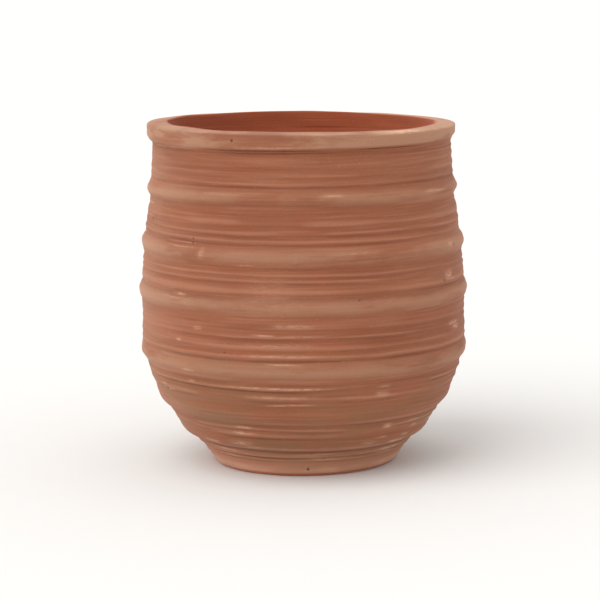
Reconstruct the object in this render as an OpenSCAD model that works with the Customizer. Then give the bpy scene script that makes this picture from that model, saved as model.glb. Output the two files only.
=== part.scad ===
// Terracotta jar planter, thrown in rings that are stacked on a base disc.
// Every ring is locked to the next by a tongue and a groove, and applied bands cover the upper joints.
// The origin is the centre of the underside, and +Z points up.

/* [Overall] */
// Height from the ground to the top of the rim
pot_h = 416; // [406:1:440]
// Radius that the straight side of the foot would reach at the ground
foot_r = 111.5; // [109:0.5:114]
// Height of the straight side of the foot
foot_h = 26; // [22:1:28]
// Radius of the edge under the foot
foot_round = 10; // [4:0.5:12]
// Radius that the curve of the bowl would reach at the ground
bowl_r = 96; // [92:0.5:98]
// Radius of the body at its widest, between the ribs
belly_r = 198.5; // [195:0.5:204]
// Height of the widest part of the body
belly_z = 186; // [180:1:192]
// Radius of the body under the rim
neck_r = 181; // [177:0.5:185]

/* [Wall] */
// Thickness of the wall
wall = 19; // [17:0.5:22]
// Thickness of the floor
floor_t = 20; // [16:1:22]
// Radius of the floor inside the pot
floor_r = 105; // [98:1:107]
// How strongly the lower body curves in towards the foot
bowl_power = 2.5; // [2.3:0.1:2.6]

/* [Rim] */
// Height of the collar under the lip
rim_h = 22; // [18:1:25]
// How far the collar stands out from the neck
rim_proud = 6.5; // [4:0.5:8]
// Height of the slope under the collar
rim_slope_h = 7; // [4:0.5:9]
// Radius of the outer edge of the lip
lip_outer_round = 3; // [2:0.5:6]
// Radius of the inner edge of the lip
lip_inner_round = 3.5; // [2:0.5:7]

/* [Bands and ledges] */
// Height of the lowest band
low_band_z = 142; // [134:1:152]
// Height of the band on the belly
belly_band_z = 217; // [206:1:226]
// Height of the band on the shoulder
shoulder_band_z = 275; // [264:1:285]
// Height of the band on the neck
neck_band_z = 341; // [328:1:350]
// Height of a band
band_w = 22; // [16:1:24]
// How far a band stands out from the body
band_proud = 4; // [2:0.5:5]
// How deep a band is pressed into the wall
band_seat = 3; // [2:0.5:4]
// Height of the ledge over the foot
foot_ledge_z = 44; // [41:1:48]
// Height of the ledge over the heel
heel_ledge_z = 86; // [82:1:92]
// How far the ledge over the foot stands out
foot_ledge_proud = 4.5; // [3:0.5:6]
// How far the ledge over the heel stands out
heel_ledge_proud = 3; // [2:0.5:5]
// Distance from a ledge's crest to where it has died away
ledge_half = 14; // [10:1:16]
// Distance from a ledge's crest up to the open joint between its rings
ledge_drop = 6; // [4:0.5:8]

/* [Throwing ribs] */
// Height of one rib, before the ribs are spread evenly over a ring
rib_pitch = 10; // [8:0.5:14]
// Depth of the channel between two ribs
rib_depth = 1.2; // [0.5:0.1:2]
// Steps in one rib's outline
rib_steps = 5; // [4:1:8]

/* [Joints and drain] */
// Height of the tongue on top of each ring
tongue_h = 6; // [4:0.5:8]
// Width of the tongue where it leaves the ring
tongue_root = 7; // [5:0.5:8]
// Width of the tongue at its top
tongue_tip = 4; // [2:0.5:5]
// Radius of the drain hole
drain_r = 12.5; // [8:0.5:20]

/* [Hidden] */
$fn = 180;
rim_z = pot_h - rim_h;
ledge_joint_z = [foot_ledge_z + ledge_drop, heel_ledge_z + ledge_drop];
band_z = [low_band_z, belly_band_z, shoulder_band_z, neck_band_z];
// Joint heights from the floor disc up to the rim
joint_z = concat([floor_t], ledge_joint_z, band_z, [rim_z]);
clay = [0.65, 0.41, 0.30];
clay_dark = [0.58, 0.35, 0.25];
clay_pale = [0.71, 0.53, 0.42];

// ---- Body curve ----

// Radius at height z of a jar with a widest radius mid_r, low_r at low_z and top_r at the top.
function jar_r(z, low_z, low_r, mid_r, top_r) =
  z < belly_z
    ? mid_r - (mid_r - low_r) * pow((belly_z - z) / (belly_z - low_z), bowl_power)
    : mid_r - (mid_r - top_r) * (1 - cos(180 * (z - belly_z) / (pot_h - belly_z))) / 2;

// The outside without ribs or ledges: a straight foot, then the jar.
function outer_jar_r(z) = jar_r(z, 0, bowl_r, belly_r, neck_r);
function body_r(z) = z < foot_h ? foot_r + (outer_jar_r(foot_h) - foot_r) * z / foot_h : outer_jar_r(z);

// The inside.
function inside_r(z) = jar_r(z, floor_t, floor_r, belly_r - wall, neck_r - wall);

// A smooth hump of the given height and half width, zero beyond it.
function hump(distance, half, height) =
  abs(distance) >= half ? 0 : height * (1 + cos(180 * distance / half)) / 2;

// The outside with the two ledges.
function ledged_r(z) =
  body_r(z) + hump(z - foot_ledge_z, ledge_half, foot_ledge_proud)
    + hump(z - heel_ledge_z, ledge_half, heel_ledge_proud);

// Depth of the throwing channel at a share t of the way up a rib.
function channel(t) = rib_depth * 4 * t * (1 - t);

// ---- Outlines as [radius, height] points ----

// The ribbed outside of a ring from z0 to z1, going up.
function ribbed_side(z0, z1) =
  let (ribs = round((z1 - z0) / rib_pitch), rib = (z1 - z0) / ribs)
    [for (i = [0 : ribs - 1], s = [0 : rib_steps - 1])
      let (t = s / rib_steps, z = z0 + (i + t) * rib)
        [ledged_r(z) - channel(t), z]];

// The smooth inside of a ring from z0 up to z1, going down.
function inner_side(z0, z1) =
  let (steps = ceil((z1 - z0) / rib_pitch))
    [for (i = [steps : -1 : 0]) let (z = z0 + (z1 - z0) * i / steps) [inside_r(z), z]];

// Middle of the wall at height z, where a tongue stands.
function tongue_r(z) = (body_r(z) - band_seat + inside_r(z)) / 2;

// The tongue or groove at joint height z, going inwards. It leans with the wall.
function tongue(z) =
  let (top = z + tongue_h)
    [
      [tongue_r(z) + tongue_root / 2, z],
      [tongue_r(top) + tongue_tip / 2, top],
      [tongue_r(top) - tongue_tip / 2, top],
      [tongue_r(z) - tongue_root / 2, z]
    ];

function reversed(points) = [for (i = [len(points) - 1 : -1 : 0]) points[i]];

// An arc from angle a0 to a1 about [r, z].
function arc(r, z, radius, a0, a1) =
  let (steps = 6)
    [for (i = [0 : steps]) let (a = a0 + (a1 - a0) * i / steps) [r + radius * cos(a), z + radius * sin(a)]];

// ---- Wall rings ----

// Half the height that a band takes from the ring on each side of joint i, or 0 at a joint with no band.
function band_half(i) = len(search(joint_z[i], band_z)) > 0 ? band_w / 2 : 0;

// Radius of the seat that the band at height z is pressed into.
function seat_r(z) = min(body_r(z - band_w / 2), body_r(z + band_w / 2)) - band_seat;

// Where a ring's outside leaves the seat of the band below it, and where it meets joint i above it,
// both going up.
function seat_below(i) =
  let (z = joint_z[i], half = band_half(i))
    half == 0 ? [] : [[seat_r(z), z], [seat_r(z), z + half]];
function seat_above(i) =
  let (z = joint_z[i], half = band_half(i))
    half == 0 ? [[ledged_r(z), z]] : [[body_r(z - half), z - half], [seat_r(z), z - half], [seat_r(z), z]];

// Wall ring number i, from joint i to joint i + 1.
module wall_ring(i) {
  low = joint_z[i];
  high = joint_z[i + 1];
  rotate_extrude()
    polygon(concat(
      seat_below(i),
      ribbed_side(low + band_half(i), high - band_half(i + 1)),
      seat_above(i + 1),
      tongue(high),
      inner_side(low, high),
      reversed(tongue(low))
    ));
}

// Applied band number i, crowned outside and flat against its seat.
module band(i) {
  z = band_z[i];
  half = band_w / 2;
  steps = 10;
  rotate_extrude()
    polygon(concat(
      [for (s = [0 : steps])
        let (d = half * (2 * s / steps - 1)) [body_r(z + d) + hump(d, half, band_proud), z + d]],
      [[seat_r(z), z + half], [seat_r(z), z - half]]
    ));
}

// ---- Sub-parts, from the ground up ----

module base_slab() {
  // The foot's side leans out by this angle, and the edge under it is tangent to it and to the ground.
  lean = atan2(body_r(foot_h) - foot_r, foot_h);
  edge_r = foot_r - foot_round / tan((90 + lean) / 2);
  color(clay_dark)
    rotate_extrude()
      polygon(concat(
        [[drain_r, 0]],
        arc(edge_r, foot_round, foot_round, -90, -lean),
        [[body_r(floor_t), floor_t]],
        tongue(floor_t),
        [[drain_r, floor_t]]
      ));
}

module foot_ring() { color(clay_dark) wall_ring(0); }
module heel_wall() { color(clay) wall_ring(1); }
module bowl_wall() { color(clay) wall_ring(2); }
module belly_wall() { color(clay) wall_ring(3); }
module waist_wall() { color(clay) wall_ring(4); }
module shoulder_wall() { color(clay) wall_ring(5); }
module neck_wall() { color(clay) wall_ring(6); }

module rim_collar() {
  collar_r = neck_r + rim_proud;
  collar_flare = 0.5;
  mouth_r = inside_r(pot_h);
  color(clay_pale)
    rotate_extrude()
      polygon(concat(
        [[body_r(rim_z), rim_z], [collar_r - collar_flare, rim_z + rim_slope_h]],
        arc(collar_r - lip_outer_round, pot_h - lip_outer_round, lip_outer_round, 0, 90),
        arc(mouth_r + lip_inner_round, pot_h - lip_inner_round, lip_inner_round, 90, 180),
        [[inside_r(rim_z), rim_z]],
        reversed(tongue(rim_z))
      ));
}

module low_band() { color(clay_pale) band(0); }
module belly_band() { color(clay_pale) band(1); }
module shoulder_band() { color(clay_pale) band(2); }
module neck_band() { color(clay_pale) band(3); }

base_slab();
foot_ring();
heel_wall();
bowl_wall();
belly_wall();
waist_wall();
shoulder_wall();
neck_wall();
rim_collar();
low_band();
belly_band();
shoulder_band();
neck_band();
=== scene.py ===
"""Looks of a hand-thrown terracotta jar planter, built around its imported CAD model.

The pot was thrown in rings, so each clay member is one closed ring mesh. Their visible skins are cut
from a single surface, skin_radius(), so they meet without a step. Lengths are metres. The angle theta
is 0 at the front of the pot (-Y) and grows towards +X. Every outline is an array of rows, where a row
holds a radius and a height at each of COLUMNS angles.
"""
import math

import bpy
import numpy as np
from mathutils import Euler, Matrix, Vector


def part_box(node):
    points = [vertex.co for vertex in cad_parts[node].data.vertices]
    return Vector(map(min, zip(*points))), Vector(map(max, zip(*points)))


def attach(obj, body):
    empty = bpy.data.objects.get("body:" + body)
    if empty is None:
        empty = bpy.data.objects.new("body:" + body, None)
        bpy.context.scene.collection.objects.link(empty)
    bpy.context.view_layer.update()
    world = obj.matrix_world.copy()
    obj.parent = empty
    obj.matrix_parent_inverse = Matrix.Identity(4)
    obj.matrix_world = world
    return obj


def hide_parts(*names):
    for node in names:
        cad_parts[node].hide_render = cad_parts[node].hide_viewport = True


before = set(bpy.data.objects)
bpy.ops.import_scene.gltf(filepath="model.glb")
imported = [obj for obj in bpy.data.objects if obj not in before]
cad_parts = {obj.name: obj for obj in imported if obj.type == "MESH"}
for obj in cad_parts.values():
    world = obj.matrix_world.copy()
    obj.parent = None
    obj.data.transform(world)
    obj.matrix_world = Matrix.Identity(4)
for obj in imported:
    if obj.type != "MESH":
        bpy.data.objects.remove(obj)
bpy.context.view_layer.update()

MM = 0.001
TURN = 2 * math.pi

# ---- Members, from the ground up ----

RINGS = ["foot_ring", "heel_wall", "bowl_wall", "belly_wall", "waist_wall", "shoulder_wall", "neck_wall"]
BANDS = ["low_band", "belly_band", "shoulder_band", "neck_band"]
SLOTS = {"base_slab": "foot_clay", "foot_ring": "foot_clay", "rim_collar": "rim_clay"}
SLOTS.update({name: "body_clay" for name in RINGS[1:]})
SLOTS.update({name: "band_clay" for name in BANDS})

# ---- Sizes taken from the frame ----

LOW, HIGH = 0, 1
TOP_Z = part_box("rim_collar")[HIGH][2]
RIM_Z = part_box("rim_collar")[LOW][2]
RIM_R = (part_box("rim_collar")[HIGH][0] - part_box("rim_collar")[LOW][0]) / 2
RING_Z = [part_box(name)[LOW][2] for name in RINGS] + [RIM_Z]
BAND_Z = [(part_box(name)[LOW][2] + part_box(name)[HIGH][2]) / 2 for name in BANDS]
BAND_HALF = (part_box("low_band")[HIGH][2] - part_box("low_band")[LOW][2]) / 2
TONGUE_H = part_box("base_slab")[HIGH][2] - RING_Z[0]

# ---- The jar's curve, as in the CAD model ----

WALL = 19 * MM
BELLY_Z, BELLY_R = 186 * MM, 198.5 * MM
NECK_R = RIM_R - 6.5 * MM
BOWL_R, BOWL_POWER = 96 * MM, 2.5
FOOT_R, FOOT_H, FOOT_ROUND = 111.5 * MM, 26 * MM, 10 * MM
FLOOR_R, DRAIN_R = 105 * MM, 12.5 * MM
BAND_SEAT = 3 * MM
TONGUE_ROOT, TONGUE_TIP = 7 * MM, 4 * MM

# ---- Mesh resolution ----

COLUMNS = 840
SKIN_STEP = 0.8 * MM
INSIDE_STEP = 2.5 * MM
THETA = np.arange(COLUMNS) * TURN / COLUMNS

# ---- What the potter's hands left ----

# Throwing ribs: crest above the ground, height and half width in mm, and the angle in degrees where
# the rib is strongest.
RIBS = [
    (22.7, 1.5, 1.3, 10), (28.2, 2.2, 2.0, -60), (39.8, 1.1, 2.4, 30), (57.4, 1.5, 2.5, 0),
    (67.2, 1.7, 2.0, -10), (76.8, 0.9, 3.0, -15), (99.2, 0.5, 1.5, -15), (108.6, 1.4, 2.7, -40),
    (120.0, 1.9, 1.7, -15), (130.6, 1.1, 2.6, -35), (158.8, 1.9, 2.6, -10), (170.0, 1.2, 4.0, 10),
    (182.8, 1.3, 2.1, -25), (192.8, 0.8, 3.8, 0), (235.0, 1.9, 5.0, -75), (247.0, 1.5, 2.3, -20),
    (254.2, 1.2, 2.3, -30), (263.6, 0.8, 2.0, -45), (293.0, 1.7, 2.3, -60), (302.0, 1.6, 2.6, -45),
    (313.6, 1.2, 5.0, -30), (326.0, 0.5, 2.4, 0), (358.0, 0.8, 2.6, -10), (368.4, 1.0, 3.0, 80),
    (379.2, 1.0, 3.2, 90), (388.0, 0.7, 1.6, 60),
]
# Below this height in mm the ribs are broken up around the pot.
BROKEN_RIBS = 135
# Grooves left by a fingernail or a tool: height above the ground, depth and half width in mm, and the
# angle in degrees where the groove is deepest.
GROOVES = [
    (20.3, 0.9, 1.2, 10), (25.6, 1.2, 1.2, 0), (35.6, 1.9, 1.8, 20), (54.4, 0.2, 1.5, 20),
    (72.6, 0.2, 1.8, 20), (230.2, 0.5, 1.8, 20), (355.2, 0.5, 1.4, 0),
]
# Ledges under the open joints: crest below the joint, height, and half width below and above it, in mm.
LEDGES = {"heel_wall": (8.0, 4.6, 8.0, 18.0), "bowl_wall": (10.0, 3.0, 10.0, 20.0)}
# Bands: crest above the band's middle, height, half width below and above it in mm, and how pointed.
CROWNS = {
    "low_band": (-2.5, 4.3, 10.0, 19.0, 0.8), "belly_band": (-0.5, 3.5, 12.0, 12.0, 0.6),
    "shoulder_band": (0.0, 4.4, 14.0, 12.0, 0.8), "neck_band": (0.0, 3.5, 11.0, 12.0, 0.8),
}
# Broad hollows between the bands: height above the ground, depth and half width in mm.
HOLLOWS = [(69, 0.9, 12), (186, 1.0, 24), (327, 1.3, 11)]
# The rings lean a little and the collar more: they drop towards +X.
LEAN, COLLAR_LEAN = 1.5 * MM, 2.4 * MM
# On the left the clay is smoother and painted paler, a painted sheen at the left edge. This is the angle
# in degrees, the share by which the ribs sink there, and how much painted sheen is added.
LEFT, LEFT_CALM, LEFT_PAINTED_SHEEN = -90, 0.4, 0.35
# Unevenness of the skin, from broad to fine: height in mm, seed, most waves around the pot, shortest
# wave up the pot in metres, and number of waves.
UNEVENNESS = [(0.35, 1, 3, 0.3, 14), (0.16, 2, 12, 0.03, 14), (0.13, 5, 4, 0.007, 24)]
# Lines that the wheel dragged into the surface.
DRAG_HEIGHT = 0.07 * MM
# How far the visible skin lies inside the CAD curve, before its ribs, bands and marks are added.
SKIN_INSET = 0.4 * MM
# Height of a smear, and depth of a pit on the wall and on the collar.
SMEAR_HEIGHT, PIT_DEPTH, COLLAR_PIT_DEPTH = 0.3 * MM, 1.1 * MM, 1.0 * MM


def field(seed, theta, z, around, rise, count=14):
    """A smooth random field of unit variance that closes around the pot.

    around is its largest number of waves around the pot, and rise its shortest wave up the pot.
    """
    rng = np.random.default_rng(seed)
    total = 0
    for _ in range(count):
        turns = rng.integers(0, around + 1)
        climb = rng.uniform(0.2, 1.0) * rng.choice((-1, 1)) * TURN / rise
        total = total + np.cos(turns * theta + climb * z + rng.uniform(0, TURN))
    return total * math.sqrt(2 / count)


def smooth(x, low, high):
    """0 below low, 1 above high, and an even curve between them."""
    t = np.clip((x - low) / (high - low), 0, 1)
    return t * t * (3 - 2 * t)


def hump(distance, below, above=None):
    """A smooth hump of height 1 that reaches this far below and above its crest."""
    half = np.where(distance < 0, below, below if above is None else above)
    return (1 + np.cos(np.pi * np.clip(distance / half, -1, 1))) / 2


def jar_radius(z, low_z, low_r, mid_r, top_r):
    """The jar's curve: a power curve below the belly and half a cosine above it."""
    below = mid_r - (mid_r - low_r) * (np.clip(BELLY_Z - z, 0, None) / (BELLY_Z - low_z)) ** BOWL_POWER
    above = mid_r - (mid_r - top_r) * (1 - np.cos(np.pi * (z - BELLY_Z) / (TOP_Z - BELLY_Z))) / 2
    return np.where(z < BELLY_Z, below, above)


def body_radius(z):
    """The outside without ribs, ledges or bands: a straight foot, then the jar."""
    foot = FOOT_R + (jar_radius(FOOT_H, 0, BOWL_R, BELLY_R, NECK_R) - FOOT_R) * z / FOOT_H
    return np.where(z < FOOT_H, foot, jar_radius(z, 0, BOWL_R, BELLY_R, NECK_R))


def inside_radius(z):
    return jar_radius(z, RING_Z[0], FLOOR_R, BELLY_R - WALL, NECK_R - WALL)


def skin_span(name):
    """Lowest and highest height of a member's visible skin."""
    if name == "base_slab":
        return 0.0, RING_Z[0]
    if name in BANDS:
        middle = BAND_Z[BANDS.index(name)]
        return middle - BAND_HALF, middle + BAND_HALF
    i = RINGS.index(name)
    cut = [BAND_HALF if min(abs(z - band) for band in BAND_Z) < MM else 0 for z in RING_Z[i:i + 2]]
    return RING_Z[i] + cut[LOW], RING_Z[i + 1] - cut[HIGH]


def leaning(theta, z):
    """Height along the leaning rings. The lean dies away at the ground and at the rim."""
    fade = smooth(z, 0, 60 * MM) * smooth(-z, -RIM_Z, -RIM_Z + 40 * MM)
    return z + LEAN * fade * np.sin(theta)


def touching(marks, z, reach, place=0):
    """The marks that come near the heights in z, each with its number.

    place is the position of the height within a mark, and reach is in mm.
    """
    low, high = np.min(z) / MM - reach, np.max(z) / MM + reach
    return [(i, mark) for i, mark in enumerate(marks) if low < mark[place] < high]


def nearer(theta, degrees):
    """1 at the given angle, falling to 0 on the far side of the pot."""
    return (1 + np.cos(theta - math.radians(degrees))) / 2


def rib_relief(theta, z):
    """Throwing ribs and tool grooves. They waver and fade in and out around the pot."""
    z = leaning(theta, z)
    total = np.zeros(z.shape)
    for i, (middle, height, half, degrees) in touching(RIBS, z, 18):
        crest = middle * MM + 0.35 * MM * field(100 + i, theta, 0, 4, 1)
        crest = crest + 0.12 * MM * field(500 + i, theta, 0, 26, 1)
        least = 0.2 if middle < BROKEN_RIBS else 0.55
        strength = least + (1 - least) * smooth(field(1000 + i, theta, 0, 9, 1), -1.3, 0.7)
        strength = strength * (0.5 + 0.5 * nearer(theta, degrees))
        u = (z - crest) / (half * MM)
        ridge = np.exp(-np.abs(u) ** 1.5) - 0.35 * np.exp(-(((u + 1.6) / 0.8) ** 2))
        total = total + height * MM * strength * ridge
    for i, (middle, depth, half, degrees) in touching(GROOVES, z, 10):
        line = middle * MM + 0.30 * MM * field(200 + i, theta, 0, 5, 1)
        strength = 0.6 + 0.4 * smooth(field(1200 + i, theta, 0, 6, 1), -1.4, 0.6)
        strength = strength * (0.55 + 0.45 * nearer(theta, degrees))
        total = total - depth * MM * strength * np.exp(-(((z - line) / (half * MM)) ** 2))
    return total * (1 - LEFT_CALM * smooth(nearer(theta, LEFT), 0.85, 1.0))


def band_shapes(theta, z):
    """The crown of each band, from 0 to 1."""
    z = leaning(theta, z)
    shapes = {}
    for i, (name, (rise, _, below, above, pointed)) in enumerate(CROWNS.items()):
        crest = BAND_Z[i] + rise * MM + 0.5 * MM * field(40 + i, theta, 0, 3, 1)
        shapes[name] = hump(z - crest, below * MM, above * MM) ** pointed
    return shapes


def ledge_shapes(theta, z):
    """The crest of each ledge, from 0 to 1."""
    z = leaning(theta, z)
    shapes = {}
    for name, (drop, _, below, above) in LEDGES.items():
        crest = RING_Z[RINGS.index(name)] - drop * MM + 0.4 * MM * field(60, theta, 0, 3, 1)
        shapes[name] = hump(z - crest, below * MM, above * MM)
    return shapes


def skin_radius(theta, z):
    """Radius of the visible outside at each angle and height."""
    radius = body_radius(z) - SKIN_INSET
    for name, shape in band_shapes(theta, z).items():
        radius = radius + CROWNS[name][1] * MM * shape
    for name, shape in ledge_shapes(theta, z).items():
        radius = radius + LEDGES[name][1] * MM * shape
    for middle, depth, half in HOLLOWS:
        radius = radius - depth * MM * hump(z - middle * MM, half * MM)
    radius = radius + rib_relief(theta, z)
    for height, seed, around, rise, count in UNEVENNESS:
        radius = radius + height * MM * field(seed, theta, z, around, rise, count)
    drag = 0.4 + 0.6 * smooth(field(3, theta, z, 5, 0.05), -1, 1)
    radius = radius + DRAG_HEIGHT * drag * field(4, theta, z, 7, 0.0025, 40)
    radius = radius + SMEAR_HEIGHT * smear_and_light_marks(theta, z) + lump_marks(theta, z)
    return radius - PIT_DEPTH * pit_marks(theta, z)


# ---- Marks that a pot picks up. All start with an angle in degrees and a height in mm. ----

# Smears of slip and lime, and one pale stroke of painted light under the collar on the left: half length
# and half height in mm, and strength.
SMEARS_AND_LIGHT = [
    (-4, 196, 24, 2.4, 0.4), (-14, 184, 14, 0.9, 0.7), (-2, 184, 26, 1.2, 0.35),
    (-39, 188, 6, 2.2, 0.55), (-9, 172.5, 40, 2.6, 0.35), (-48, 171.5, 4, 1.8, 0.6),
    (-9, 160, 44, 1.6, 0.5), (-7, 151, 18, 0.9, 0.8), (65, 182, 12, 2.0, 0.8), (67, 176, 9, 2.6, 0.8),
    (-44, 137, 9, 1.4, 0.8), (-44, 122, 5, 1.1, 0.8), (-8, 121.5, 60, 1.1, 0.8),
    (-8, 110, 40, 2.2, 0.4), (-6, 100, 30, 1.0, 0.6), (29, 120, 9, 1.6, 0.4), (29, 111, 9, 3.0, 0.6),
    (-60, 105, 12, 1.5, 0.6), (-63, 110, 6, 1.2, 0.5), (-26, 68, 13, 1.1, 1.0),
    (-27, 60, 17, 2.0, 0.75), (-30, 46, 17, 3.0, 0.5), (37, 66, 8, 2.8, 0.8), (52, 66, 12, 1.2, 0.6),
    (56, 58, 10, 1.8, 0.6), (36, 50, 10, 1.3, 0.6), (52, 49, 9, 1.5, 0.6), (30, 44, 12, 2.2, 0.4),
    (6, 30, 34, 0.8, 0.5), (10, 23.6, 40, 0.8, 0.6), (14, 8.5, 20, 4.0, 0.4),
    (-45, 30.5, 30, 1.1, 0.8), (50, 30, 26, 1.2, 0.9), (-45, 24, 22, 0.9, 0.7),
    (48, 23.8, 26, 0.9, 0.7), (48, 42, 20, 1.5, 0.8), (-48, 42.5, 16, 1.4, 0.6),
    (-24, 41, 14, 1.1, 0.4), (11, 345, 12, 1.6, 0.5), (57, 343, 24, 1.3, 0.6),
    (-48, 282, 24, 0.7, 0.6), (-46, 287, 28, 0.6, 0.5), (-37, 276.5, 4, 5.0, 0.5),
    (-20, 265.5, 9, 0.7, 0.6), (62, 241, 9, 4.5, 0.75), (65, 235.5, 12, 1.4, 0.5),
    (-11, 234, 28, 22.0, 0.16), (-14, 240, 9, 8.0, 0.15), (-47, 226, 10, 1.2, 0.8),
    (-50, 221, 18, 0.9, 0.5), (-30, 346, 26, 1.2, 0.35), (63, 277, 6, 3.0, 0.4),
    # The smear at -60 degrees and 397 mm under the collar is painted light that lifts the shade of the
    # undercut.
    (42, 414.5, 30, 2.8, 0.95), (-60, 397.0, 60, 1.0, 0.45), (33, 413, 14, 1.0, 0.5),
    (20, 279, 30, 1.0, 0.4), (-44, 218, 12, 5.0, 0.2), (-10, 399.8, 60, 0.7, 0.5),
]
# Pits where a grain popped out: radius in mm.
PITS = [
    (-25.4, 408.5, 1.5), (-41.6, 293, 1.1), (-42, 288, 1.2), (-62, 106, 1.8), (58, 234, 1.2),
    (66, 274, 1.2), (1.4, 10, 2.2), (-71, 308, 1.5), (19, 224, 0.9), (-28, 163, 0.8),
]
# Lumps and scratches: half length, half height and height in mm. A scratch has a height below 0.
LUMPS = [
    (-11, 393.4, 76, 0.7, -1.9), (-11, 397.0, 76, 0.7, -2.4), (34, 396.4, 60, 0.8, -2.2),
    (-2.3, 269, 3.0, 1.5, 1.4), (6, 267.5, 20, 0.9, -0.6), (-48, 231.5, 6, 0.8, -0.8),
    (-6, 134, 34, 1.0, -0.7), (-27, 387, 17, 0.7, -0.5), (38, 372, 22, 0.9, -0.4),
    (48, 98, 26, 0.9, -0.5), (20, 97, 30, 0.8, -0.5), (-66, 310, 6, 3.0, -0.5),
    (-60, 103, 8, 1.5, 0.8), (12, 57, 20, 0.9, -0.5), (-22, 79, 24, 1.2, -0.4),
]


def along_skin(theta, degrees):
    """Distance around the pot from an angle given in degrees."""
    return ((theta - math.radians(degrees) + math.pi) % TURN - math.pi) * BELLY_R


def scattered(seed, count, low_z, high_z, *ranges):
    """Random places on the skin, away from the front, followed by a random value in each range."""
    rng = np.random.default_rng(seed)
    for _ in range(count):
        yield (rng.uniform(75, 285), rng.uniform(low_z, high_z), *(rng.uniform(*r) for r in ranges))


ALL_SMEARS_AND_LIGHT = SMEARS_AND_LIGHT + list(scattered(21, 52, 22, 215, (6, 34), (0.8, 2.4), (0.3, 0.9)))
ALL_SMEARS_AND_LIGHT += list(scattered(22, 22, 215, 390, (5, 26), (0.7, 2.0), (0.3, 0.7)))
ALL_PITS = PITS + list(scattered(23, 22, 5, 412, (0.8, 1.7)))
ALL_LUMPS = LUMPS + list(scattered(24, 14, 50, 380, (5, 30), (0.8, 1.5), (-0.8, -0.3)))
ALL_LUMPS += list(scattered(25, 4, 60, 380, (2, 3.5), (1.2, 1.8), (0.9, 1.4)))


def smear_and_light_marks(theta, z):
    total = np.zeros(np.broadcast(theta, z).shape)
    for i, (degrees, middle, length, height, strength) in touching(ALL_SMEARS_AND_LIGHT, z, 25, 1):
        along = along_skin(theta, degrees) / (length * MM)
        across = leaning(theta, z) - middle * MM - 0.5 * MM * field(700 + i, theta, 0, 9, 1)
        across = across / (height * MM)
        total = np.maximum(total, strength * np.exp(-np.abs(along) ** 3 - across ** 2))
    return total


def pit_marks(theta, z):
    total = np.zeros(np.broadcast(theta, z).shape)
    for _, (degrees, middle, size) in touching(ALL_PITS, z, 5, 1):
        distance = np.hypot(along_skin(theta, degrees), z - middle * MM) / (size * MM)
        total = np.maximum(total, np.exp(-distance ** 4))
    return total


def lump_marks(theta, z):
    total = np.zeros(np.broadcast(theta, z).shape)
    for i, (degrees, middle, length, half, height) in touching(ALL_LUMPS, z, 10, 1):
        along = along_skin(theta, degrees) / (length * MM)
        across = leaning(theta, z) - middle * MM - 0.3 * MM * field(900 + i, theta, 0, 8, 1)
        across = across / (half * MM)
        total = total + height * MM * np.exp(-np.abs(along) ** 3 - across ** 2)
    return total


# ---- Outlines ----


def rows(radius, height):
    """Rows from radii and heights, which have one value a row, or one a row and column."""
    shape = (max(np.shape(radius)[0], np.shape(height)[0]), COLUMNS)
    return np.stack([np.broadcast_to(radius, shape), np.broadcast_to(height, shape)])


def column(values):
    return np.array(values, dtype=float).reshape(-1, 1)


def joined(*parts):
    return np.concatenate([part for part in parts if part is not None], axis=1)


def skin_rows(bottom, top):
    """The visible outside from bottom up to top."""
    z = column(np.linspace(bottom, top, 1 + round((top - bottom) / SKIN_STEP)))
    return rows(skin_radius(THETA, z), z)


def inside_skin(z):
    """The inside, with broad throwing marks. It is flat where the floor meets it."""
    fade = smooth(z, RING_Z[0], RING_Z[0] + 12 * MM)
    spiral = np.cos(TURN * z / (13 * MM) - THETA + 0.8 * field(80, THETA, z, 3, 0.2))
    wobble = 0.5 * MM * field(81, THETA, z, 5, 0.12) + 0.12 * MM * field(83, THETA, z, 5, 0.006, 24)
    return inside_radius(z) + fade * (0.55 * MM * spiral + wobble)


def inside_rows(bottom, top):
    """The inside from top down to bottom."""
    z = column(np.linspace(top, bottom, 1 + round((top - bottom) / INSIDE_STEP)))
    return rows(inside_skin(z), z)


def tongue_middle(z):
    return (body_radius(z) - BAND_SEAT + inside_radius(z)) / 2


def tongue_rows(z):
    """The tongue or groove of the joint at height z, going inwards. It leans with the wall."""
    root, tip = tongue_middle(z), tongue_middle(z + TONGUE_H)
    radius = [root + TONGUE_ROOT / 2, tip + TONGUE_TIP / 2, tip - TONGUE_TIP / 2, root - TONGUE_ROOT / 2]
    return rows(column(radius), column([z, z + TONGUE_H, z + TONGUE_H, z]))


def seat_radius(z):
    return min(body_radius(z - BAND_HALF), body_radius(z + BAND_HALF)) - BAND_SEAT


def wall_outline(name):
    """Skin, seat for the band above, tongue, inside, groove and seat for the band below."""
    i = RINGS.index(name)
    low, high = RING_Z[i], RING_Z[i + 1]
    bottom, top = skin_span(name)
    seat_above = rows(column([seat_radius(high)] * 2), column([top, high])) if top < high else None
    seat_below = rows(column([seat_radius(low)] * 2), column([low, bottom])) if bottom > low else None
    hidden = joined(
        seat_above, tongue_rows(high), inside_rows(low, high), tongue_rows(low)[:, ::-1], seat_below,
    )
    return skin_rows(bottom, top), hidden


def band_outline(name):
    bottom, top = skin_span(name)
    seat = seat_radius((bottom + top) / 2)
    return skin_rows(bottom, top), rows(column([seat, seat]), column([top, bottom]))


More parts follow.
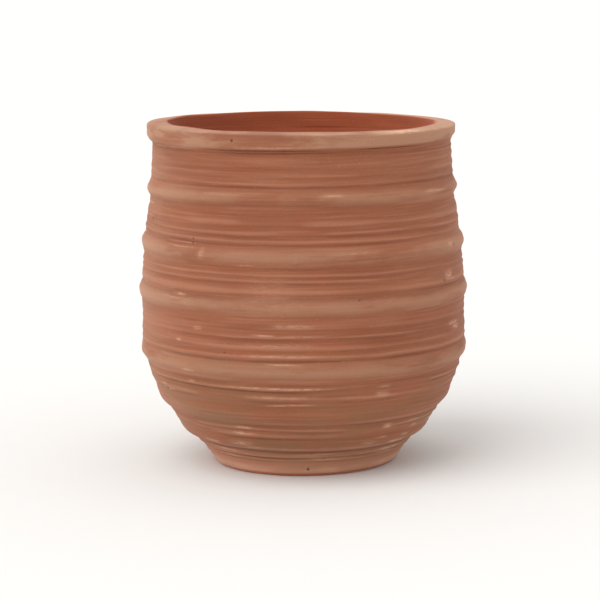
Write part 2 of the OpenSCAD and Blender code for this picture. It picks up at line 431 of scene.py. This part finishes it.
def slab_outline(name):
    """The floor disc. Its edge is the lowest part of the foot, and a finger spiral covers its top."""
    bottom, top = skin_span(name)
    lean = math.atan2(body_radius(FOOT_H) - FOOT_R, FOOT_H)
    edge_r = FOOT_R - FOOT_ROUND / math.tan((math.pi / 2 + lean) / 2)
    edge_top = FOOT_ROUND * (1 - math.sin(lean))
    skin = skin_rows(edge_top, top)
    radius = column(np.linspace(FLOOR_R, DRAIN_R + 3 * MM, 46))
    fade = smooth(radius, DRAIN_R + 2 * MM, DRAIN_R + 12 * MM)
    fade = fade * smooth(-radius, -FLOOR_R, -FLOOR_R + 8 * MM)
    spiral = np.cos(TURN * radius / (11 * MM) - THETA + 0.6 * field(82, THETA, 0, 3, 1))
    floor = rows(radius, top + 0.6 * MM * fade * spiral)
    turns = column(np.linspace(0, math.pi / 2, 5))
    mouth = rows(DRAIN_R + 3 * MM * (1 - np.sin(turns)), top - 3 * MM * (1 - np.cos(turns)))[:, 1:]
    bore_z = column(np.linspace(top - 4 * MM, bottom + 2 * MM, 6))
    bore = rows(np.full_like(bore_z, DRAIN_R), bore_z)
    outlet = rows(DRAIN_R + 1.5 * MM * (1 - np.cos(turns)), bottom + 1.5 * MM * (1 - np.sin(turns)))
    under_r = column(np.linspace(DRAIN_R + 3 * MM, edge_r - 2 * MM, 16))
    under = rows(under_r, np.full_like(under_r, bottom))
    # The rounded edge joins the underside to the skin, whose waviness it takes up gradually.
    turns = column(np.linspace(-math.pi / 2, -lean, 12)[:-1])
    edge_z = FOOT_ROUND * (1 + np.sin(turns))
    waviness = (skin[0, 0] - body_radius(edge_top)) * edge_z / edge_top
    edge = rows(edge_r + FOOT_ROUND * np.cos(turns) + waviness, edge_z)
    return skin, joined(tongue_rows(top), floor, mouth, bore, outlet, under, edge)


def straight(start, end, step):
    """Points from start to end, without start itself."""
    return list(np.linspace(start, end, 2 + int(np.linalg.norm(end - start) / step))[1:])


def rounded(points, step):
    """A dense open outline through (radius, height, corner radius) points, with rounded corners."""
    flat = [np.array(p[:2]) for p in points]
    dense = [flat[0]]
    for before, corner, after, size in zip(flat, flat[1:], flat[2:], [p[2] for p in points[1:-1]]):
        back, ahead = before - corner, after - corner
        back, ahead = back / np.linalg.norm(back), ahead / np.linalg.norm(ahead)
        bend = math.acos(np.clip(back @ ahead, -1, 1))
        reach = size / math.tan(bend / 2)
        start, end = corner + back * reach, corner + ahead * reach
        dense += straight(dense[-1], start, step)
        count = 3 + int((math.pi - bend) * size / step)
        for t in np.linspace(0, 1, count)[1:]:
            dense.append((1 - t) ** 2 * start + 2 * t * (1 - t) * corner + t ** 2 * end)
    dense += straight(dense[-1], flat[-1], step)
    return np.array(dense)


MOUTH_R = float(inside_radius(TOP_Z))
NECK_SKIN_R = float(body_radius(RIM_Z)) - SKIN_INSET
# Radius and height of the collar's three edges: the lower one, and the lip's outer and inner ones.
COLLAR_EDGES = [
    (RIM_R - 0.6 * MM, RIM_Z + 6.2 * MM),
    (RIM_R, TOP_Z - 1.6 * MM),
    (MOUTH_R, TOP_Z + 0.2 * MM),
]
# How far the whole lip is lifted.
LIP_LIFT = 0.6 * MM
# How far, in mm, the lower edge is lifted on both sides, and how much more on the left.
SIDE_LIFT, LEFT_LIFT = 2.4, 2.8
# On the left clay was smeared up into the undercut: its depth, its middle around the pot and its
# reach to each side of that, the last two in radians.
FILL_DEPTH, FILL_MIDDLE, FILL_REACH = 2.6 * MM, math.radians(297), 0.6
# A bead of clay pressed out under the front of the collar, with its angle in degrees.
BEAD_DEPTH, BEAD_MIDDLE = 0.9 * MM, -12


def collar_shape():
    """Radius and height along the collar: an undercut slope, an upright face, the lip and the mouth."""
    lower, outer, inner = COLLAR_EDGES
    shape = rounded([
        (NECK_SKIN_R, RIM_Z, 0),
        (NECK_SKIN_R + 0.6 * MM, RIM_Z + 1.0 * MM, 1.0 * MM),
        (*lower, 0.8 * MM),
        (*outer, 3.6 * MM),
        (*inner, 1.8 * MM),
        (float(inside_radius(RIM_Z)), RIM_Z, 0),
    ], SKIN_STEP)
    return shape[:, :1], shape[:, 1:]


def worn_and_highlit_edges(radius, z):
    """1 at the collar's lower edge and on the lip beside its inner edge, where the clay is rubbed pale and
    a highlight is painted.
    """
    lower, _, inner = COLLAR_EDGES
    lip = (inner[0] + 4 * MM, inner[1])
    worn_and_highlight = 0
    for (edge_r, edge_z), across, up in ((lower, 1.8 * MM, 1.5 * MM), (lip, 6 * MM, 1.2 * MM)):
        worn_and_highlight = worn_and_highlight + np.exp(-(((radius - edge_r) / across) ** 2) - ((z - edge_z) / up) ** 2)
    return worn_and_highlight


def rim_outline(name):
    """The collar, out of round and higher on the left."""
    radius, z = collar_shape()
    up = smooth(z, RIM_Z, RIM_Z + 4 * MM)
    wobble = 0.5 * MM * field(90, THETA, z, 3, 0.3) + 0.2 * MM * field(91, THETA, z, 14, 0.02)
    wobble = wobble + 0.05 * MM * field(95, THETA, z, 8, 0.003, 30)
    sag = 0.5 * MM * field(92, THETA, 0, 4, 1) + 0.25 * MM * field(93, THETA, radius, 12, 0.03)
    # The lip is higher on the left, and the lower edge curves up on both sides.
    lower_z = COLLAR_EDGES[0][1]
    on_lip = np.interp(z, [lower_z, TOP_Z], [0, 1])
    at_edge = np.interp(z, [RIM_Z, lower_z, TOP_Z], [0, 1, 0])
    on_left = np.interp(z, [RIM_Z, RIM_Z + 1.0 * MM, lower_z, TOP_Z], [0, 0.9, 1, 0.5])
    left = smooth(-np.sin(THETA), 0.4, 1.0)
    lift = up * sag + on_lip * (LIP_LIFT - COLLAR_LEAN * np.sin(THETA))
    lift = lift + at_edge * SIDE_LIFT * MM * np.sin(THETA) ** 2
    lift = lift + on_left * LEFT_LIFT * MM * left
    bead = BEAD_DEPTH * nearer(THETA, BEAD_MIDDLE) ** 2
    bead = bead * smooth(field(94, THETA, 0, 4, 1), -1.2, 0.6)
    bead = bead * hump(z - RIM_Z - 1.4 * MM, 1.5 * MM)
    foot = (skin_radius(THETA, column([RIM_Z])) - NECK_SKIN_R) * (1 - up)
    fill = FILL_DEPTH * hump(THETA - FILL_MIDDLE, FILL_REACH)
    fill = fill * hump(z - RIM_Z - 2.2 * MM, 2.2 * MM, 4 * MM)
    marks = SMEAR_HEIGHT * smear_and_light_marks(THETA, z) + lump_marks(THETA, z)
    marks = marks - COLLAR_PIT_DEPTH * pit_marks(THETA, z)
    outside = radius > MOUTH_R + 8 * MM
    inside = (inside_skin(z) - inside_radius(z)) * (1 - up)
    shift = up * wobble + np.where(outside, foot + bead + fill + marks, inside)
    return rows(radius + shift, z + lift), tongue_rows(RIM_Z)[:, ::-1]


OUTLINES = {name: wall_outline for name in RINGS}
OUTLINES.update({name: band_outline for name in BANDS})
OUTLINES.update({"base_slab": slab_outline, "rim_collar": rim_outline})

# ---- Meshes ----


def skin_normal(z):
    """Outward normals of the skin at one height, from the slope of skin_radius."""
    d = 0.4 * MM
    turn = TURN / COLUMNS
    low, middle, high = skin_radius(THETA, column([z - d, z, z + d]))
    slope_z = (high - low) / (2 * d)
    slope_t = (np.roll(middle, -1) - np.roll(middle, 1)) / (2 * turn) / middle
    normal = np.stack([
        np.sin(THETA) - slope_t * np.cos(THETA),
        -np.cos(THETA) - slope_t * np.sin(THETA),
        -slope_z,
    ], axis=-1)
    return normal / np.linalg.norm(normal, axis=-1, keepdims=True)


def sharp_rows(points):
    """Rows where the outline turns by more than 35 degrees."""
    middle = points[:, 0]
    back, ahead = middle - np.roll(middle, 1, axis=0), np.roll(middle, -1, axis=0) - middle
    turn = np.einsum("ij,ij->i", back, ahead)
    turn = turn / (np.linalg.norm(back, axis=1) * np.linalg.norm(ahead, axis=1) + 1e-12)
    return turn < math.cos(math.radians(35))


def member_mesh(name):
    """A closed ring: every row of the outline joins the next, and the last joins the first."""
    skin, hidden = OUTLINES[name](name)
    radius, height = joined(skin, hidden)
    points = np.stack([radius * np.sin(THETA), -radius * np.cos(THETA), height], axis=-1)
    count = len(points)
    index = np.arange(count * COLUMNS).reshape(count, COLUMNS)
    right, up = np.roll(index, -1, axis=1), np.roll(index, -1, axis=0)
    quads = np.stack([index, right, np.roll(up, -1, axis=1), up], axis=-1).reshape(-1, 4)
    mesh = bpy.data.meshes.new(name)
    mesh.vertices.add(count * COLUMNS)
    mesh.vertices.foreach_set("co", points.astype(np.float32).ravel())
    mesh.loops.add(quads.size)
    mesh.loops.foreach_set("vertex_index", quads.ravel().astype(np.int32))
    mesh.polygons.add(len(quads))
    mesh.polygons.foreach_set("loop_start", np.arange(0, quads.size, 4, dtype=np.int32))
    mesh.polygons.foreach_set("use_smooth", np.ones(len(quads), dtype=bool))
    mesh.update(calc_edges=True)
    ends = np.empty(len(mesh.edges) * 2, dtype=np.int32)
    mesh.edges.foreach_get("vertices", ends)
    end_rows = ends.reshape(-1, 2) // COLUMNS
    is_sharp = sharp_rows(points)
    sharp = (end_rows[:, 0] == end_rows[:, 1]) & is_sharp[end_rows[:, 0]]
    mesh.attributes.new("sharp_edge", "BOOLEAN", "EDGE").data.foreach_set("value", sharp)
    paint(mesh, skin, hidden)
    unroll(mesh, radius[:, 0], height[:, 0], skin.shape[1])
    match_seams(mesh, quads, name, skin.shape[1])
    return mesh


def match_seams(mesh, quads, name, skin_count):
    """Gives the skin's first and last row the whole pot's normals, so that no seam shows."""
    bottom, top = (RIM_Z, None) if name == "rim_collar" else skin_span(name)
    normals = np.zeros((len(quads), 4, 3), dtype=np.float32)
    on_skin = quads[:, 0] // COLUMNS < skin_count - 1
    for edge_row, z in ((0, bottom), (skin_count - 1, top)):
        if not z:
            continue
        hit = (quads // COLUMNS == edge_row) & on_skin[:, None]
        normals[hit] = skin_normal(z)[quads[hit] % COLUMNS]
    mesh.normals_split_custom_set(normals.reshape(-1, 3))


def unroll(mesh, radius, height, skin_count):
    """UV map: the ring unrolled, cut into two halves that lie one above the other."""
    step = np.hypot(np.diff(radius, append=radius[0]), np.diff(height, append=height[0]))
    step[skin_count:] *= 0.45
    up = np.concatenate([[0], np.cumsum(step)]) / np.sum(step)
    half = COLUMNS // 2
    left = np.arange(COLUMNS) % half / half
    along = np.stack([left, left + 1 / half, left + 1 / half, left], axis=-1)
    across = np.stack([up[:-1], up[:-1], up[1:], up[1:]], axis=-1)
    margin = 0.01
    uv = np.empty((len(radius), COLUMNS, 4, 2), dtype=np.float32)
    uv[..., 0] = margin + (1 - 2 * margin) * along
    strip = (np.arange(COLUMNS) // half)[None, :, None]
    uv[..., 1] = strip / 2 + margin + (0.5 - 2 * margin) * across[:, None, :]
    mesh.uv_layers.new(name="OFBake").data.foreach_set("uv", uv.ravel())


def paint(mesh, skin, hidden):
    """Stores what the clay's colour depends on, one number at each point."""
    radius, height = skin
    outside = radius > inside_radius(height) + 0.4 * WALL
    # Painted highlight, with some wear, on the collar's edges.
    worn_and_highlight = worn_and_highlit_edges(*collar_shape()) if mesh.name == "rim_collar" else 0.0
    inside = 1 - smooth(radius - inside_radius(height), 0.5 * MM, 5 * MM)
    rim = smooth(height, RIM_Z + 4 * MM, RIM_Z + 6 * MM) * (1 - inside)
    # A painted sheen on the left side, carried with the bloom.
    left = LEFT_PAINTED_SHEEN * smooth(nearer(THETA, LEFT), 0.80, 1.0) * (1 - inside)
    layers = {
        "rib": np.where(outside, rib_relief(THETA, height) / MM, 0),
        "bloom_and_sheen": np.maximum(sum(band_shapes(THETA, height).values()), 1.8 * rim) + left,
        "worn_and_highlight": np.broadcast_to(worn_and_highlight, height.shape),
        "smear_and_light": smear_and_light_marks(THETA, height) * outside,
        "pit_shade": pit_marks(THETA, height) * outside,
        "inside": inside,
    }
    for layer, values in layers.items():
        rest = np.full(hidden.shape[1:], 1.0 if layer == "inside" else 0.0)
        attribute = mesh.attributes.new(layer, "FLOAT", "POINT")
        attribute.data.foreach_set("value", np.concatenate([values, rest]).astype(np.float32).ravel())


# ---- Fired clay ----


def linear(red, green, blue):
    """A colour given as 0 to 255 screen values, as the linear light that Blender uses."""
    def one(value):
        value = value / 255
        return value / 12.92 if value <= 0.04045 else ((value + 0.055) / 1.055) ** 2.4
    return one(red), one(green), one(blue), 1.0


CLAY_DARK, CLAY_LIGHT = linear(147, 86, 57), linear(154, 94, 65)
STREAK_DARK, STREAK_LIGHT = linear(140, 80, 54), linear(172, 112, 84)
THREAD_DARK, THREAD_LIGHT = linear(130, 74, 50), linear(176, 118, 90)
REDDISH, REDDISH_FOOT = linear(166, 86, 64), linear(172, 84, 62)
STAIN = linear(134, 98, 66)
# Darker clay and painted shade for the grooves, and a painted highlight for the crests.
GROOVE_DIRT_AND_SHADE, CREST_HIGHLIGHT = linear(112, 62, 42), linear(186, 130, 102)
# Painted light for the foot, and a chalky bloom that also serves as painted light.
FOOT_PAINTED_LIGHT, CHALK_AND_PAINTED_LIGHT = linear(194, 140, 110), linear(212, 166, 138)
# Pale bloom of the bands and rim, also used as a painted sheen on the left.
BLOOM_AND_SHEEN = linear(174, 128, 100)
INSIDE = linear(176, 86, 52)
# The first colour is a painted highlight, with some wear, on the collar's edges; the second is pale smears
# and a stroke of painted light.
WORN_AND_HIGHLIGHT, SMEAR_AND_PAINTED_LIGHT = linear(220, 182, 154), linear(214, 168, 138)
DARK_GRAIN, PALE_GRAIN = linear(112, 62, 44), linear(204, 168, 146)
# Painted shade inside the pits.
PIT_SHADE = linear(84, 34, 24)


class Nodes:
    """Short ways to make the nodes of one material."""

    def __init__(self, material):
        self.tree = material.node_tree
        self.place = self.tree.nodes.new("ShaderNodeTexCoord").outputs["Object"]

    def put(self, socket, value):
        if isinstance(value, bpy.types.NodeSocket):
            self.tree.links.new(value, socket)
        else:
            socket.default_value = value

    def attribute(self, name):
        node = self.tree.nodes.new("ShaderNodeAttribute")
        node.attribute_name = name
        return node.outputs["Fac"]

    def noise(self, across, up, detail=3.0, rough=0.55, seed=0.0):
        """Noise with this many features per metre across and up."""
        stretch = self.tree.nodes.new("ShaderNodeVectorMath")
        stretch.operation = "MULTIPLY_ADD"
        self.put(stretch.inputs[0], self.place)
        stretch.inputs[1].default_value = (across, across, up)
        stretch.inputs[2].default_value = (seed, seed * 1.7, seed * 2.3)
        node = self.tree.nodes.new("ShaderNodeTexNoise")
        self.put(node.inputs["Vector"], stretch.outputs[0])
        node.inputs["Scale"].default_value = 1.0
        node.inputs["Detail"].default_value = detail
        node.inputs["Roughness"].default_value = rough
        return node.outputs["Fac"]

    def math(self, operation, a, b=0.0):
        node = self.tree.nodes.new("ShaderNodeMath")
        node.operation = operation
        self.put(node.inputs[0], a)
        self.put(node.inputs[1], b)
        return node.outputs[0]

    def span(self, value, low, high, to_low=0.0, to_high=1.0):
        """A smooth step of value from low to high."""
        node = self.tree.nodes.new("ShaderNodeMapRange")
        node.interpolation_type = "SMOOTHSTEP"
        for socket, number in zip(node.inputs, (value, low, high, to_low, to_high)):
            self.put(socket, number)
        return node.outputs[0]

    def mix(self, amount, a, b, blend="MIX"):
        node = self.tree.nodes.new("ShaderNodeMix")
        node.data_type = "RGBA"
        node.blend_type = blend
        self.put(node.inputs["Factor"], amount)
        self.put(node.inputs[6], a)
        self.put(node.inputs[7], b)
        return node.outputs[2]

    def height(self):
        node = self.tree.nodes.new("ShaderNodeSeparateXYZ")
        self.put(node.inputs[0], self.place)
        return node.outputs["Z"]


def clay_colour(n):
    """Orange clay with pink and brown firing clouds, bloom, smears, stains low down and pits, with painted
    shade in grooves and pits, painted highlights on crests and collar edges, a painted sheen on the left
    and painted light on the foot.
    """
    z = n.height()
    rib = n.attribute("rib")
    clouds = n.noise(7, 9, 3)
    streaks = n.noise(2.5, 70, 4, 0.6, 3)
    threads = n.noise(9, 420, 3, 0.6, 5)
    colour = n.mix(n.span(clouds, 0.35, 0.68), CLAY_DARK, CLAY_LIGHT)
    colour = n.mix(n.span(streaks, 0.48, 0.68, 0, 0.7), colour, STREAK_DARK)
    colour = n.mix(n.span(streaks, 0.48, 0.28, 0, 0.6), colour, STREAK_LIGHT)
    colour = n.mix(n.span(threads, 0.52, 0.70, 0, 0.5), colour, THREAD_DARK)
    colour = n.mix(n.span(threads, 0.48, 0.30, 0, 0.45), colour, THREAD_LIGHT)
    # Reddish patches where the flame or damp sat, mostly low on the pot.
    patch = n.span(n.noise(22, 80, 4, 0.6, 9), 0.50, 0.64)
    patch = n.math("MULTIPLY", patch, n.span(z, 0.30, 0.06, 0.12, 0.5))
    colour = n.mix(patch, colour, REDDISH)
    low = n.math("MULTIPLY", n.span(z, 0.006, 0.010), n.span(z, 0.026, 0.018))
    low = n.math("MULTIPLY", low, n.span(n.noise(12, 90, 3, 0.55, 11), 0.42, 0.56, 0.1, 0.7))
    colour = n.mix(low, colour, REDDISH_FOOT)
    # An olive brown stain, from standing outdoors.
    stain = n.span(n.noise(6, 26, 3, 0.55, 13), 0.38, 0.66)
    stain = n.math("MULTIPLY", stain, n.span(z, 0.20, 0.05, 0.0, 0.7))
    colour = n.mix(stain, colour, STAIN)
    # Grooves are darkened, partly darker clay and partly painted shade, and crests are lightened with a
    # painted highlight.
    colour = n.mix(n.span(rib, -0.02, -0.5, 0, 0.7), colour, GROOVE_DIRT_AND_SHADE)
    colour = n.mix(n.span(rib, 0.30, 1.1, 0, 0.4), colour, CREST_HIGHLIGHT)
    # The foot is painted paler: painted light that lifts the contact shadow and the shade on the foot.
    colour = n.mix(n.span(z, 0.05, 0.0, 0, 0.7), colour, FOOT_PAINTED_LIGHT)
    # A chalky bloom at the bottom edge, made stronger as painted light where the foot sits in shade.
    chalk_and_light = n.span(z, 0.016, 0.008, 0, 0.7)
    chalk_and_light = n.math("MULTIPLY", chalk_and_light, n.span(n.noise(9, 60, 3, 0.6, 15), 0.3, 0.6, 0.3, 1))
    colour = n.mix(chalk_and_light, colour, CHALK_AND_PAINTED_LIGHT)
    # A pale buff bloom on the bands and the rim, with a painted sheen on the left side.
    bloom_and_sheen = n.attribute("bloom_and_sheen")
    bloom_and_sheen = n.math("MULTIPLY", bloom_and_sheen, n.span(n.noise(9, 40, 4, 0.6, 17), 0.33, 0.60, 0.08, 0.72))
    colour = n.mix(bloom_and_sheen, colour, BLOOM_AND_SHEEN)
    # Pale smears, one of them painted light under the collar.
    smear_and_light = n.attribute("smear_and_light")
    smear_and_light = n.math("MULTIPLY", smear_and_light, n.span(n.noise(110, 900, 4, 0.7, 21), 0.42, 0.55, 0.2, 1.0))
    colour = n.mix(smear_and_light, colour, SMEAR_AND_PAINTED_LIGHT)
    colour = n.mix(n.attribute("inside"), colour, n.mix(0.75, colour, INSIDE))
    # Painted highlight, with some wear, on the collar's lower edge and the lip's inner edge.
    colour = n.mix(n.math("MULTIPLY", n.attribute("worn_and_highlight"), 0.8), colour, WORN_AND_HIGHLIGHT)
    colour = n.mix(n.span(n.noise(900, 900, 2, 0.5, 25), 0.60, 0.74, 0, 0.4), colour, DARK_GRAIN)
    colour = n.mix(n.span(n.noise(700, 700, 2, 0.5, 29), 0.66, 0.78, 0, 0.5), colour, PALE_GRAIN)
    # Pits are darkened with painted shade.
    return n.mix(n.attribute("pit_shade"), colour, PIT_SHADE)


def clay_bump(n, shader):
    """Wheel lines under 2 mm and the grain of the clay."""
    lines = n.noise(7, 900, 3, 0.6, 33)
    grain = n.noise(1100, 1100, 4, 0.65, 37)
    height = n.math("ADD", n.math("MULTIPLY", lines, 0.6), n.math("MULTIPLY", grain, 0.4))
    bump = n.tree.nodes.new("ShaderNodeBump")
    bump.inputs["Strength"].default_value = 0.55
    bump.inputs["Distance"].default_value = 0.4 * MM
    n.put(bump.inputs["Height"], height)
    n.put(shader.inputs["Normal"], bump.outputs[0])


def clay(name):
    material = bpy.data.materials.new(name)
    material.use_nodes = True
    n = Nodes(material)
    shader = n.tree.nodes["Principled BSDF"]
    n.put(shader.inputs["Base Color"], clay_colour(n))
    n.put(shader.inputs["Roughness"], n.span(n.noise(30, 160, 3, 0.6, 41), 0.3, 0.7, 0.78, 0.94))
    shader.inputs["Diffuse Roughness"].default_value = 0.6
    shader.inputs["Specular IOR Level"].default_value = 0.3
    shader.inputs["Sheen Weight"].default_value = 0.18
    shader.inputs["Sheen Roughness"].default_value = 0.5
    shader.inputs["Sheen Tint"].default_value = linear(236, 214, 200)
    clay_bump(n, shader)
    return material


MATERIALS = {slot: clay(slot) for slot in sorted(set(SLOTS.values()))}

for member, slot in SLOTS.items():
    piece = bpy.data.objects.new(member + "_clay", member_mesh(member))
    bpy.context.scene.collection.objects.link(piece)
    piece.data.materials.append(MATERIALS[slot])
    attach(piece, "root")
    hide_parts(member)

# ---- Floor, light and camera ----


def make_floor():
    bpy.ops.mesh.primitive_circle_add(vertices=96, radius=28, fill_type="NGON")
    floor = bpy.context.object
    floor.name = "floor"
    material = bpy.data.materials.new("floor")
    material.use_nodes = True
    shader = material.node_tree.nodes["Principled BSDF"]
    shader.inputs["Base Color"].default_value = linear(230, 229, 227)
    shader.inputs["Roughness"].default_value = 0.95
    shader.inputs["Specular IOR Level"].default_value = 0.1
    floor.data.materials.append(material)


def make_light():
    """A bright studio: a pale dome, brighter overhead, and a very soft sun from above the left front."""
    world = bpy.data.worlds.new("dome")
    world.use_nodes = True
    nodes, links = world.node_tree.nodes, world.node_tree.links
    place = nodes.new("ShaderNodeTexCoord").outputs["Generated"]
    split = nodes.new("ShaderNodeSeparateXYZ")
    links.new(place, split.inputs[0])
    brightness = nodes.new("ShaderNodeMapRange")
    links.new(split.outputs["Z"], brightness.inputs["Value"])
    brightness.inputs["To Min"].default_value = 0.80
    brightness.inputs["To Max"].default_value = 1.05
    background = nodes["Background"]
    background.inputs["Color"].default_value = (1.0, 0.992, 0.98, 1.0)
    links.new(brightness.outputs["Result"], background.inputs["Strength"])
    bpy.context.scene.world = world
    sun = bpy.data.objects.new("soft_sun", bpy.data.lights.new("soft_sun", "SUN"))
    sun.data.energy = 1.52
    sun.data.angle = math.radians(60)
    sun.rotation_euler = Vector((0.62, 0.52, -0.85)).to_track_quat("-Z", "Y").to_euler()
    bpy.context.scene.collection.objects.link(sun)


def make_camera():
    """A long lens a little above the pot, fitted to the photograph. Angles are in degrees."""
    camera = bpy.data.objects.new("camera", bpy.data.cameras.new("camera"))
    camera.data.lens = 143.05
    camera.location = (0, -2.9, 0.645)
    pitch, yaw, roll = 8.79, 0.084, 0.8
    camera.rotation_euler = Euler((math.radians(90 - pitch), 0, math.radians(yaw)))
    camera.rotation_euler.rotate_axis("Z", math.radians(-roll))
    bpy.context.scene.collection.objects.link(camera)
    bpy.context.scene.camera = camera


make_floor()
make_light()
make_camera()
bpy.context.scene.view_settings.view_transform = "Standard"
